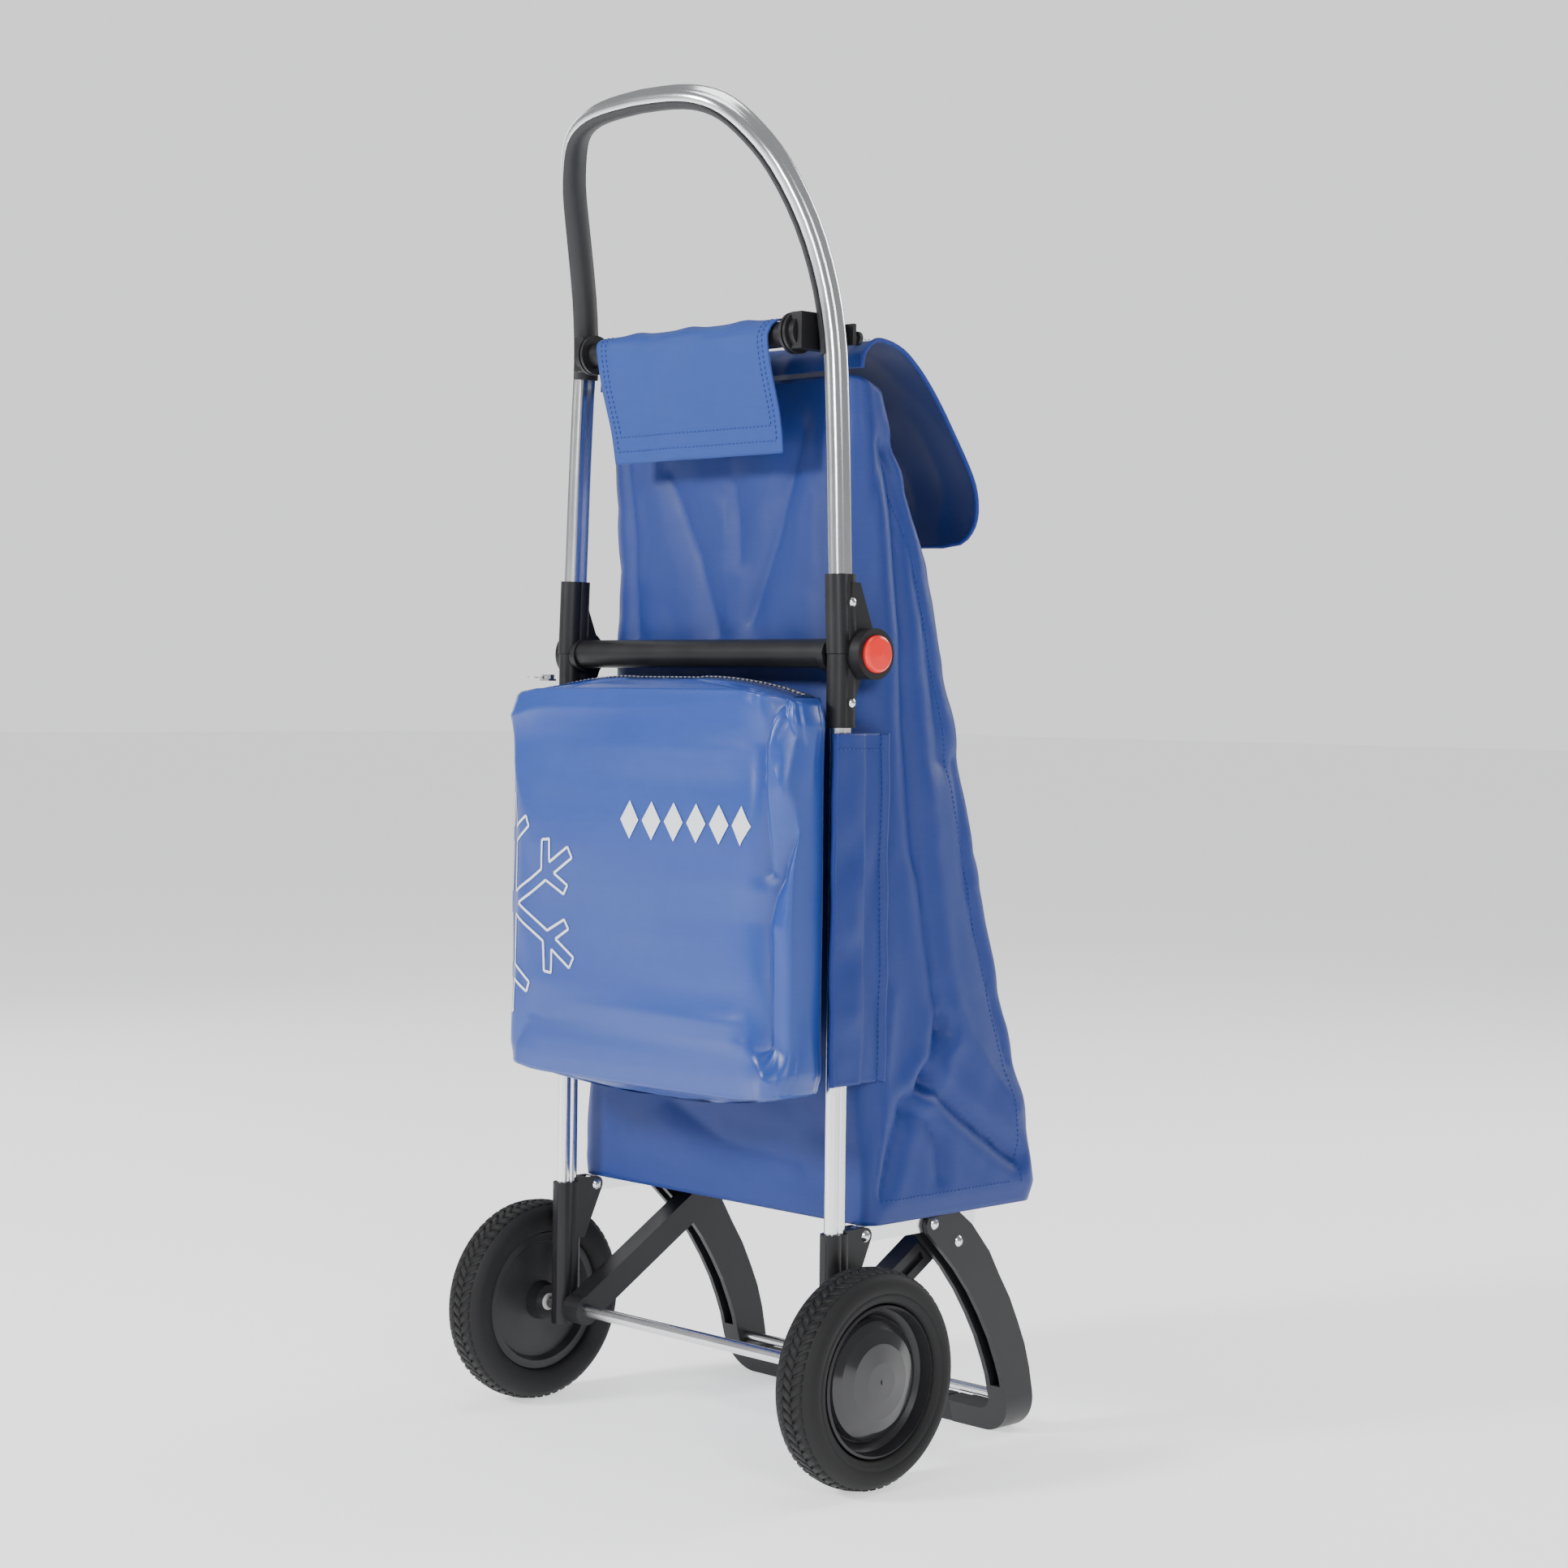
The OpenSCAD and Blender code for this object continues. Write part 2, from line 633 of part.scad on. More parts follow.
module zip_slider() {
    color(metal) difference() {
        union() {
            translate([-154, -34, 600.4]) cube([11, 8, 1.6]);
            translate([-154, -32, 601]) cube([11, 4, 4.6]);
        }
        translate([-153.2, -40, 602.2]) cube([2.4, 20, 2]);
    }
}

module zip_ring() {
    color(metal) translate([-161.2, -30, 603.2]) rotate_extrude() translate([9.2, 0]) circle(0.55);
}

at_axle() upright(-1);  // upright_left
at_axle() upright(1);  // upright_right
at_axle() bracket(-1);  // bracket_left
at_axle() bracket(1);  // bracket_right
at_axle() axle();
at_axle() axle_push_nuts();
at_axle() hinge_lower(-1);  // hinge_lower_left
at_axle() hinge_lower(1);  // hinge_lower_right
at_axle() hinge_crossbar();
at_axle() hinge_bushes();
at_axle() lower_rivets();
at_axle() platform_rivets();
at_axle() thermo_bag();
at_axle() side_sleeve(-1);  // side_sleeve_left
at_axle() side_sleeve(1);  // side_sleeve_right
at_axle() bag_lower();
at_axle() handle_tube();
at_axle() handle_grip();
at_axle() hinge_upper(-1);  // hinge_upper_left
at_axle() hinge_upper(1);  // hinge_upper_right
at_axle() upper_rivets();
at_axle() bag_bar();
at_axle() bar_collar(-1);  // bar_collar_left
at_axle() bar_collar(1);  // bar_collar_right
at_axle() bag_hooks();
at_axle() rear_flap();
at_axle() bag_upper();
at_axle() platform_frame();
at_axle() bag_base();
at_axle() leg(-1);  // leg_left
at_axle() leg(1);  // leg_right
at_axle() foot_bar();
at_axle() stand_rod();
at_axle() stand_rivets();
at_axle() strut(-1);  // strut_left
at_axle() strut(1);  // strut_right
at_axle() tyre(-1);  // tyre_left
at_axle() tyre(1);  // tyre_right
at_axle() rim(-1);  // rim_left
at_axle() rim(1);  // rim_right
at_axle() hub_cap(-1);  // hub_cap_left
at_axle() hub_cap(1);  // hub_cap_right
at_axle() wheel_bush(-1);  // wheel_bush_left
at_axle() wheel_bush(1);  // wheel_bush_right
at_axle() button(-1);  // button_left
at_axle() button(1);  // button_right
at_axle() lock_pin(-1);  // lock_pin_left
at_axle() lock_pin(1);  // lock_pin_right
at_axle() button_spring(-1);  // button_spring_left
at_axle() button_spring(1);  // button_spring_right
at_axle() bag_flap();
at_axle() zip_slider();
at_axle() zip_ring();
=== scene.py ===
import json
import math
import bmesh
import bpy
from mathutils import Matrix, Vector, noise
from mathutils.bvhtree import BVHTree


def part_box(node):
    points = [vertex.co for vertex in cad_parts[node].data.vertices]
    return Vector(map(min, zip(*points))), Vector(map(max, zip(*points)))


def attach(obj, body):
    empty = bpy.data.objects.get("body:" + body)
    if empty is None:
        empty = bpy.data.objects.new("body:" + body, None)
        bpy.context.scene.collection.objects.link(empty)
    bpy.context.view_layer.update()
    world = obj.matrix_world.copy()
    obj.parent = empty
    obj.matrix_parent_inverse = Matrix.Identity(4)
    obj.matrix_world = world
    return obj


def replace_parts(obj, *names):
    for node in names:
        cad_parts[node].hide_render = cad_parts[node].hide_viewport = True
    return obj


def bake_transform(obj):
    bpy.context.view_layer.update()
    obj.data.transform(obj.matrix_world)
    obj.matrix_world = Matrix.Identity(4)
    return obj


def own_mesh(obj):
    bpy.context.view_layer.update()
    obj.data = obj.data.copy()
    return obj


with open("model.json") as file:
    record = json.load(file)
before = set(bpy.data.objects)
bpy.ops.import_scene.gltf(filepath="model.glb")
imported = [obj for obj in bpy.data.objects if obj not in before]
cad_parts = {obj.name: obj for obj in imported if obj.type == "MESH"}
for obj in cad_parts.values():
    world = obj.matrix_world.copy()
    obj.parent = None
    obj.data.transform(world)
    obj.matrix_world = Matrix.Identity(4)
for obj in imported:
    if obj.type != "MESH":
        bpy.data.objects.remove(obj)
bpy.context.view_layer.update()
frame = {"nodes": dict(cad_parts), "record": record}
axleLow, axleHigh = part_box("axle")
axleY = (axleLow.y + axleHigh.y) / 2
axleZ = (axleLow.z + axleHigh.z) / 2
print("frame loaded")


# places are given in mm: across, forward of the axle, above the floor
def at(x, y, z):
    return Vector((x / 1000, y / 1000 + axleY, z / 1000))


def mix(a, b, t):
    return a + (b - a) * t


def ease(t):
    t = max(0, min(1, t))
    return t * t * (3 - 2 * t)


# value of a table of (place, value) rows at a place, rounded off between rows
def readTable(rows, place):
    if place <= rows[0][0]:
        return rows[0][1]
    for (p0, v0), (p1, v1) in zip(rows, rows[1:]):
        if place <= p1:
            t = (place - p0) / (p1 - p0)
            return mix(v0, v1, mix(t, ease(t), 0.4))
    return rows[-1][1]


# ---- camera, light and floor

camera = {"turn": 45.48, "roll": 0.69, "far": 2321.9, "side": -68.45, "height": 593.6,
          "lens": 67.26, "shift": -0.0587}


def addCamera(values):
    turn, roll = math.radians(values["turn"]), math.radians(values["roll"])
    s, c = math.sin(turn), math.cos(turn)
    right, up, back = Vector((c, s, 0)), Vector((0, 0, 1)), Vector((s, -c, 0))
    tiltedRight = right * math.cos(roll) + up * math.sin(roll)
    tiltedUp = up * math.cos(roll) - right * math.sin(roll)
    data = bpy.data.cameras.new("camera")
    data.lens, data.sensor_width, data.shift_y = values["lens"], 36, values["shift"]
    data.clip_end = 50
    view = bpy.data.objects.new("camera", data)
    bpy.context.scene.collection.objects.link(view)
    place = at(values["far"] * s - values["side"] * c, -values["far"] * c - values["side"] * s,
               values["height"])
    axes = Matrix((tiltedRight, tiltedUp, back)).transposed().to_4x4()
    view.matrix_world = Matrix.Translation(place) @ axes
    bpy.context.scene.camera = view


lamps = [
    {"name": "key", "place": (-0.9, -2.8, 1.9), "size": 0.7, "power": 98},
    {"name": "side", "place": (2.6, -1.5, 1.5), "size": 0.8, "power": 40},
    {"name": "front", "place": (0.6, 2.8, 1.9), "size": 1.6, "power": 40},
    {"name": "left", "place": (-2.8, 0.4, 1.6), "size": 1.8, "power": 16},
    {"name": "top", "place": (0.0, 0.0, 3.2), "size": 2.0, "power": 30},
]


def addLamp(values):
    data = bpy.data.lights.new(values["name"], "AREA")
    data.shape, data.size, data.energy = "DISK", values["size"], values["power"]
    lamp = bpy.data.objects.new(values["name"], data)
    bpy.context.scene.collection.objects.link(lamp)
    place = Vector(values["place"])
    turn = (Vector((0, 0, 0.5)) - place).to_track_quat("-Z", "Y").to_matrix().to_4x4()
    lamp.matrix_world = Matrix.Translation(place) @ turn


addCamera(camera)
for values in lamps:
    addLamp(values)
world = bpy.data.worlds.new("studio")
world.use_nodes = True
# the pale backdrop is brighter than the light that comes off it
softLight = world.node_tree.nodes["Background"]
softLight.inputs["Strength"].default_value = 0.32
backdrop = world.node_tree.nodes.new("ShaderNodeBackground")
backdrop.inputs["Strength"].default_value = 1.25
for light in (softLight, backdrop):
    light.inputs["Color"].default_value = (0.97, 0.975, 0.98, 1)
seen = world.node_tree.nodes.new("ShaderNodeLightPath")
either = world.node_tree.nodes.new("ShaderNodeMixShader")
for start, end in ((seen.outputs["Is Camera Ray"], either.inputs[0]),
                   (softLight.outputs[0], either.inputs[1]), (backdrop.outputs[0], either.inputs[2]),
                   (either.outputs[0], world.node_tree.nodes["World Output"].inputs["Surface"])):
    world.node_tree.links.new(start, end)
bpy.context.scene.world = world
print("camera and lights set")


# ---- materials

class Wire:
    def __init__(self, tree, socket):
        self.tree, self.socket = tree, socket

    def math(self, operation, first, second=None):
        node = self.tree.nodes.new("ShaderNodeMath")
        node.operation = operation
        for slot, value in zip(node.inputs, (first, second)):
            if isinstance(value, Wire):
                self.tree.links.new(value.socket, slot)
            elif value is not None:
                slot.default_value = value
        return Wire(self.tree, node.outputs[0])

    def __add__(self, other):
        return self.math("ADD", self, other)

    def __mul__(self, other):
        return self.math("MULTIPLY", self, other)

    __radd__ = __add__
    __rmul__ = __mul__

    def clipped(self):
        return self.math("MINIMUM", self.math("MAXIMUM", self, 0.0), 1.0)


class Finish:
    def __init__(self, name, **sockets):
        self.material = bpy.data.materials.new(name)
        self.material.use_nodes = True
        self.tree = self.material.node_tree
        self.shader = self.tree.nodes["Principled BSDF"]
        for socket, value in sockets.items():
            self.shader.inputs[socket.replace("_", " ")].default_value = value
        self.place = self.node("ShaderNodeTexCoord", out="Object")

    # any node: its type, its settings, then its sockets by name
    def node(self, kind, settings=None, out=0, **sockets):
        node = self.tree.nodes.new(kind)
        for key, value in (settings or {}).items():
            setattr(node, key, value)
        for name, value in sockets.items():
            slot = node.inputs[int(name[1:])] if name[0] == "i" and name[1:].isdigit() else node.inputs[name]
            if isinstance(value, Wire):
                self.tree.links.new(value.socket, slot)
            else:
                slot.default_value = value
        return Wire(self.tree, node.outputs[out])

    def speckle(self, size, detail=3.0, stretch=(1, 1, 1)):
        scale = tuple(k / size for k in stretch)
        stretched = self.node("ShaderNodeMapping", Vector=self.place, Scale=scale)
        return self.node("ShaderNodeTexNoise", Vector=stretched, Scale=1.0, Detail=detail)

    def shade(self, amount, dark, light):
        return self.node("ShaderNodeMix", {"data_type": "RGBA"}, 2, i0=amount, i6=(*dark, 1), i7=(*light, 1))

    def lead(self, **sockets):
        for name, value in sockets.items():
            self.tree.links.new(value.socket, self.shader.inputs[name.replace("_", " ")])
        return self

    def bump(self, height, depth):
        normal = self.node("ShaderNodeBump", Height=height, Distance=depth, Strength=1.0)
        return self.lead(Normal=normal)


def moulded(name, dark, light, rough, grain=0.00006, coat=0.0):
    f = Finish(name, Coat_Weight=coat, Specular_IOR_Level=0.34)
    patches, fine = f.speckle(0.03), f.speckle(0.0007, 2.0)
    f.lead(Base_Color=f.shade(patches, dark, light))
    f.lead(Roughness=(patches * 0.14 + fine * 0.06 + (rough - 0.1)).clipped())
    return f.bump(fine, grain).material


def metalTube(name, shade, rough, along):
    f = Finish(name, Metallic=1.0)
    streaks, haze = f.speckle(0.0006, 3.0, along), f.speckle(0.05)
    dark = tuple(k * 0.9 for k in shade)
    f.lead(Base_Color=f.shade(haze * 0.6 + streaks * 0.4, dark, shade))
    f.lead(Roughness=(streaks * 0.10 + haze * 0.08 + (rough - 0.08)).clipped())
    return f.bump(streaks, 0.000012).material


# threads: how far apart they are, how deep the weave is, and the cloth's gloss
def woven(name, dark, light, pitch=0.0007, depth=0.00010, rough=0.52, coat=0.0, worn=0.3, gloss=0.3):
    f = Finish(name, Coat_Weight=coat, Coat_Roughness=0.25, Sheen_Weight=0.04, Sheen_Roughness=0.4,
               Specular_IOR_Level=gloss)
    turns = 2 * math.pi / pitch
    parts = f.node("ShaderNodeSeparateXYZ", Vector=f.place).socket.node
    x, y, z = (Wire(f.tree, parts.outputs[k]) for k in range(3))
    across = f.node("ShaderNodeMath", {"operation": "SINE"}, i0=(x + y) * turns)
    upward = f.node("ShaderNodeMath", {"operation": "SINE"}, i0=z * turns)
    weave = across * upward * 0.5 + 0.5
    broad, slubs = f.speckle(0.11, 4.0), f.speckle(0.004, 3.0, (0.3, 0.3, 2.0))
    tone = (broad * worn + slubs * 0.25 + weave * 0.3 + (0.22 - worn * 0.5)).clipped()
    f.lead(Base_Color=f.shade(tone, dark, light))
    f.lead(Roughness=(weave * 0.08 + broad * 0.12 + (rough - 0.1)).clipped())
    return f.bump(weave * 0.6 + slubs * 0.4, depth).material


finishes = {
    "tube": metalTube("polished_tube", (0.86, 0.87, 0.89), 0.2, (1.4, 1.4, 0.05)),
    "steel": metalTube("bright_steel", (0.8, 0.8, 0.82), 0.24, (0.05, 1.4, 1.4)),
    "rivet": metalTube("rivet_head", (0.86, 0.86, 0.87), 0.16, (1, 1, 1)),
    "black": moulded("satin_black_plastic", (0.007, 0.007, 0.008), (0.017, 0.017, 0.019), 0.42),
    "grip": moulded("grip_plastic", (0.018, 0.018, 0.02), (0.032, 0.032, 0.035), 0.46, 0.0001),
    "leg": moulded("leg_plastic", (0.009, 0.009, 0.01), (0.02, 0.02, 0.022), 0.4),
    "hub": moulded("hub_cap_plastic", (0.014, 0.014, 0.016), (0.022, 0.022, 0.024), 0.2, 0.00001, 0.5),
    "rim": moulded("rim_plastic", (0.014, 0.014, 0.016), (0.03, 0.03, 0.033), 0.38),
    "tyre": moulded("tyre_rubber", (0.004, 0.004, 0.0045), (0.011, 0.011, 0.012), 0.66, 0.00012),
    "nylon": moulded("bush_nylon", (0.5, 0.5, 0.47), (0.6, 0.6, 0.57), 0.45),
    "red": moulded("button_red", (0.8, 0.012, 0.010), (0.95, 0.02, 0.016), 0.3, 0.00001, 0.3),
    "board": moulded("base_board", (0.012, 0.02, 0.07), (0.02, 0.03, 0.1), 0.7, 0.0002),
    "cloth": woven("bag_cloth", (0.008, 0.022, 0.135), (0.019, 0.049, 0.25), rough=0.44, coat=0.04),
    # rear panel: the bag's woven cloth painted lighter, as painted light standing in for the light that falls
    # on the panel
    "panel": woven("rear_panel_cloth_painted_lighter", (0.012, 0.036, 0.19), (0.03, 0.08, 0.34), depth=0.00014),
    "lining": woven("navy_lining", (0.005, 0.013, 0.075), (0.012, 0.028, 0.13), rough=0.5),
    "cool": woven("coated_nylon", (0.01, 0.034, 0.2), (0.026, 0.078, 0.37), 0.0006, 0.00005, 0.3, 0.2,
                  gloss=0.5),
    "edge": woven("edge_binding", (0.005, 0.018, 0.14), (0.013, 0.04, 0.26), 0.0009, 0.00016, 0.6),
    "thread": woven("sewing_thread", (0.012, 0.03, 0.17), (0.04, 0.09, 0.36), 0.0004, 0.00008, 0.6),
    "print": woven("white_print", (0.70, 0.73, 0.78), (0.84, 0.86, 0.9), 0.0006, 0.00004, 0.45),
    "zip": metalTube("zip_metal", (0.6, 0.6, 0.62), 0.3, (1, 1, 1)),
    "floor": moulded("studio_floor", (0.90, 0.90, 0.90), (0.93, 0.93, 0.93), 0.8, 0.00002),
}
slotFinish = {
    "tube_metal": "tube", "steel": "steel", "rivet_steel": "rivet", "black_plastic": "black",
    "grip_plastic": "grip", "leg_plastic": "leg", "tyre_rubber": "tyre", "rim_plastic": "rim",
    "hub_plastic": "hub", "bush_plastic": "nylon", "red_plastic": "red", "bag_cloth": "cloth",
    "glossy_nylon": "cool", "base_board": "board", "zip_metal": "zip",
}
for row in frame["record"]["subparts"]:
    node = frame["nodes"][row["node"]]
    node.data.materials.clear()
    node.data.materials.append(finishes[slotFinish[row["material_slot"]]])
print("materials made")


# ---- making pieces

def addPiece(name, bm, finish, body=None, smooth=True, second=None):
    mesh = bpy.data.meshes.new(name)
    bm.to_mesh(mesh)
    bm.free()
    piece = bpy.data.objects.new(name, mesh)
    bpy.context.scene.collection.objects.link(piece)
    mesh.materials.append(finishes[finish])
    if second:
        mesh.materials.append(finishes[second])
    for face in mesh.polygons:
        face.use_smooth = smooth
    if body:
        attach(piece, body)
    return piece


# a grid whose points are placed by a rule of how far along and how far up they are, both 0 to 1
def gridBy(rule, alongSteps, upSteps):
    bm = bmesh.new()
    bmesh.ops.create_grid(bm, x_segments=alongSteps, y_segments=upSteps, size=0.5)
    for vert in bm.verts:
        vert.co = rule(vert.co.x + 0.5, vert.co.y + 0.5)
    bmesh.ops.remove_doubles(bm, verts=bm.verts, dist=0.00001)
    return bm


def thicken(piece, depth, second=False):
    wall = piece.modifiers.new("wall", "SOLIDIFY")
    wall.thickness = depth
    wall.offset = -1
    wall.use_even_offset = False
    if second:
        wall.material_offset = 1
        wall.material_offset_rim = 0
    return piece


# a round cord through points, as one tube
def tubeThrough(points, radius, sides=8):
    bm = bmesh.new()
    rings = []
    for i, point in enumerate(points):
        along = (points[min(i + 1, len(points) - 1)] - points[max(i - 1, 0)]).normalized()
        made = bmesh.ops.create_circle(bm, segments=sides, radius=radius)["verts"]
        turn = along.to_track_quat("Z", "Y").to_matrix().to_4x4()
        bmesh.ops.transform(bm, matrix=Matrix.Translation(point) @ turn, verts=made)
        rings.append(made)
    for low, high in zip(rings, rings[1:]):
        around = [e for v in low + high for e in v.link_edges
                  if set(e.verts) <= set(low) or set(e.verts) <= set(high)]
        bmesh.ops.bridge_loops(bm, edges=list(dict.fromkeys(around)))
    for ring in (rings[0], rings[-1]):
        bmesh.ops.contextual_create(bm, geom=ring)
    bmesh.ops.recalc_face_normals(bm, faces=bm.faces)
    return bm


# a row of stitches lying along a line of points
def stitches(points, pitch=0.0042, length=0.0028, radius=0.00042):
    bm = bmesh.new()
    run = 0.0
    for a, b in zip(points, points[1:]):
        step = (b - a).length
        while run < step:
            place = a + (b - a) * (run / step)
            made = bmesh.ops.create_icosphere(bm, subdivisions=1, radius=radius)["verts"]
            turn = (b - a).to_track_quat("X", "Z").to_matrix().to_4x4()
            shape = Matrix.Diagonal((length / radius / 2, 1, 1, 1))
            bmesh.ops.transform(bm, matrix=Matrix.Translation(place) @ turn @ shape, verts=made)
            run += pitch
        run -= step
    return bm


# ---- front bag

bagShape = {
    "halfWidth": [(188, 168), (204, 170.5), (250, 168), (303, 165), (362, 163), (423, 161), (550, 157),
                  (612, 154.5), (692, 151.5), (755, 150), (800, 148), (840, 146)],
    "front": [(188, 223), (204, 229), (250, 226), (303, 213), (362, 196), (423, 180), (550, 150), (612, 136),
              (642, 130), (692, 118), (755, 92), (800, 76), (840, 62)],
    "back": [(188, 28), (300, 26), (550, 26), (840, 28)],
    "backCorner": [(188, 14), (250, 16), (362, 26), (423, 32), (612, 42), (692, 38), (755, 28), (840, 14)],
    "frontCorner": [(188, 16), (303, 22), (612, 26), (755, 20), (840, 12)],
}
# folds of the bag's sides: (forward, up) points, how deep, and how wide; a negative depth stands out
sideFolds = [
    {"line": [(63, 787), (70, 722), (76, 644), (78, 565), (88, 470), (104, 380), (115, 333)], "depth": 9,
     "width": 7},
    {"line": [(66, 786), (84, 722), (102, 633), (117, 542)], "depth": 5, "width": 12},
    {"line": [(58, 804), (40, 720), (30, 654)], "depth": 3, "width": 12},
    {"line": [(95, 293), (141, 259), (197, 223)], "depth": 9, "width": 6},
    {"line": [(95, 293), (69, 276), (59, 252), (38, 200)], "depth": 7, "width": 6},
    {"line": [(115, 335), (96, 293)], "depth": 8, "width": 6},
    {"line": [(73, 273), (94, 263), (105, 246), (106, 217)], "depth": 4, "width": 6},
    {"line": [(88, 447), (115, 350), (159, 308), (199, 262)], "depth": -3, "width": 9},
    {"line": [(136, 540), (147, 439), (170, 368), (194, 300)], "depth": 6, "width": 13},
    {"line": [(58, 361), (46, 285), (33, 200)], "depth": -2.5, "width": 6},
]
# the same on the back, as (across, up) points
backFolds = [
    {"line": [(-70, 772), (-30, 700), (-8, 640)], "depth": 5, "width": 11},
    {"line": [(84, 800), (60, 720), (30, 650)], "depth": 5, "width": 10},
    {"line": [(-128, 830), (-112, 730), (-104, 640)], "depth": 4, "width": 9},
    {"line": [(120, 800), (112, 700), (118, 600)], "depth": 4, "width": 8},
    {"line": [(10, 760), (16, 700)], "depth": 3, "width": 9},
    {"line": [(-60, 262), (0, 236), (90, 226)], "depth": 4, "width": 12},
]


# how deep a list of folds presses in at a place
def pressedBy(folds, first, second):
    depth = 0
    for fold in folds:
        gap = toLine(first, second, fold["line"])
        crease = math.exp(-gap / fold["width"])
        shoulder = math.exp(-((gap - 2.6 * fold["width"]) / (1.5 * fold["width"])) ** 2)
        depth += fold["depth"] * (crease - 0.2 * shoulder)
    return depth


# how far a point is from a line of points
def toLine(y, z, line):
    gaps = []
    for (y0, z0), (y1, z1) in zip(line, line[1:]):
        dy, dz = y1 - y0, z1 - z0
        t = max(0, min(1, ((y - y0) * dy + (z - z0) * dz) / (dy * dy + dz * dz)))
        gaps.append(math.hypot(y - y0 - t * dy, z - z0 - t * dz))
    return min(gaps)


# along runs round the bag from the middle of its back, up runs from its floor to its mouth
def bagWall(along, up):
    z = mix(188, 838, up)
    half, front, back, rearRound, frontRound = (
        readTable(bagShape[key], z) for key in ("halfWidth", "front", "back", "backCorner", "frontCorner"))
    # the outline: four sides and four round corners, started in the middle of the back
    straight = [2 * (half - frontRound), front - back - rearRound - frontRound, 2 * (half - rearRound)]
    arcs = [math.pi / 2 * frontRound, math.pi / 2 * rearRound]
    stretches = [straight[2] / 2, arcs[1], straight[1], arcs[0], straight[0], arcs[0], straight[1], arcs[1],
                 straight[2] / 2]
    run = along * sum(stretches)
    k = 0
    while k < 8 and run > stretches[k]:
        run -= stretches[k]
        k += 1
    t = run / stretches[k]
    quarter = t * math.pi / 2
    if k == 0:
        x, y, nx, ny = run, back, 0, -1
    elif k == 1:
        x = half - rearRound + rearRound * math.sin(quarter)
        y = back + rearRound - rearRound * math.cos(quarter)
        nx, ny = math.sin(quarter), -math.cos(quarter)
    elif k == 2:
        x, y, nx, ny = half, back + rearRound + run, 1, 0
    elif k == 3:
        x = half - frontRound + frontRound * math.cos(quarter)
        y = front - frontRound + frontRound * math.sin(quarter)
        nx, ny = math.cos(quarter), math.sin(quarter)
    elif k == 4:
        x, y, nx, ny = half - frontRound - run, front, 0, 1
    elif k == 5:
        x = -half + frontRound - frontRound * math.sin(quarter)
        y = front - frontRound + frontRound * math.cos(quarter)
        nx, ny = -math.sin(quarter), math.cos(quarter)
    elif k == 6:
        x, y, nx, ny = -half, front - frontRound - run, -1, 0
    elif k == 7:
        x = -half + rearRound - rearRound * math.cos(quarter)
        y = back + rearRound - rearRound * math.sin(quarter)
        nx, ny = -math.cos(quarter), -math.sin(quarter)
    else:
        x, y, nx, ny = -half + rearRound + run, back, 0, -1
    side, face = abs(nx), max(0, ny)
    rear = max(0, -ny)
    inward = side * pressedBy(sideFolds, y, z) + rear * pressedBy(backFolds, x, z)
    seed = 11 if x > 0 else 47
    broad = noise.noise(Vector((y / 90 + seed, z / 120, x / 160)))
    crumple = 1 - abs(noise.noise(Vector((y / 46 + z / 90, z / 60 - y / 80, x / 50 + seed)))) * 2.2
    fine = noise.noise(Vector((x / 17 + y / 15, z / 24, seed)))
    inward += (side * 0.45 + face + rear * 0.7) * (2.4 * broad + 1.5 * crumple + 0.5 * fine)
    inward = max(inward, -3.0 + rear * 2.6) * ease((z - 190) / 30) + 0.6
    mouthDrop = (y - 28) * 0.42 * ease((z - 740) / 98)
    return at(x - nx * inward, y - ny * inward, z - mouthDrop)


bag = gridBy(bagWall, 230, 170)
rim = [e for e in bag.edges if e.is_boundary and max(v.co.z for v in e.verts) < 0.2]
floorFace = bmesh.ops.contextual_create(bag, geom=rim)["faces"]
bmesh.ops.inset_region(bag, faces=floorFace, thickness=0.006, depth=-0.001)
bmesh.ops.recalc_face_normals(bag, faces=bag.faces)
bagPiece = addPiece("bag_body", bag, "cloth", second="lining")
thicken(bagPiece, 0.0012, True)
at(0, 30, 560)
at(0, 30, 690)
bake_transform(bagPiece)
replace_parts(bagPiece, "bag_lower", "bag_upper")
bagSurface = BVHTree.FromPolygons([v.co for v in bagPiece.data.vertices],
                                  [p.vertices for p in bagPiece.data.polygons])
print("front bag made")


# points of a line moved onto a surface, looking along a direction, and lifted a little off it
def layOn(surface, points, look, lift):
    laid = []
    for point in points:
        hit = surface.ray_cast(point - look * 0.3, look)[0]
        laid.append((hit if hit is not None else point) - look * lift)
    return laid


def seamOn(surface, name, line, look, body, finish="thread", lift=0.0003, blended=False):
    steps = [a + (b - a) * k / 12 for a, b in zip(line, line[1:]) for k in range(12)] + [line[-1]]
    piece = addPiece(name, stitches(layOn(surface, steps, look, lift)), finish)
    if blended:
        at(0, 30, 560)
        at(0, 30, 690)
        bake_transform(piece)
    else:
        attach(piece, body)
    return piece


for side, word in ((1, "right"), (-1, "left")):
    look = Vector((-side, 0, 0))
    frontSeam = [at(side * 300, readTable(bagShape["front"], z) - 27, z) for z in range(206, 800, 33)]
    seamOn(bagSurface, "bag_side_seam_" + word, frontSeam, look, "frame", blended=True)
    hem = [at(side * 300, y, 206) for y in range(44, 212, 24)]
    seamOn(bagSurface, "bag_bottom_seam_" + word, hem, look, "frame")
print("bag seams made")

# ---- lid flap

lid = {"line": [(28, 842), (31, 855), (47, 864.5), (80, 855), (118, 821), (157, 772), (172, 740), (176, 714)],
       "half": 150, "corner": 46, "low": 712}


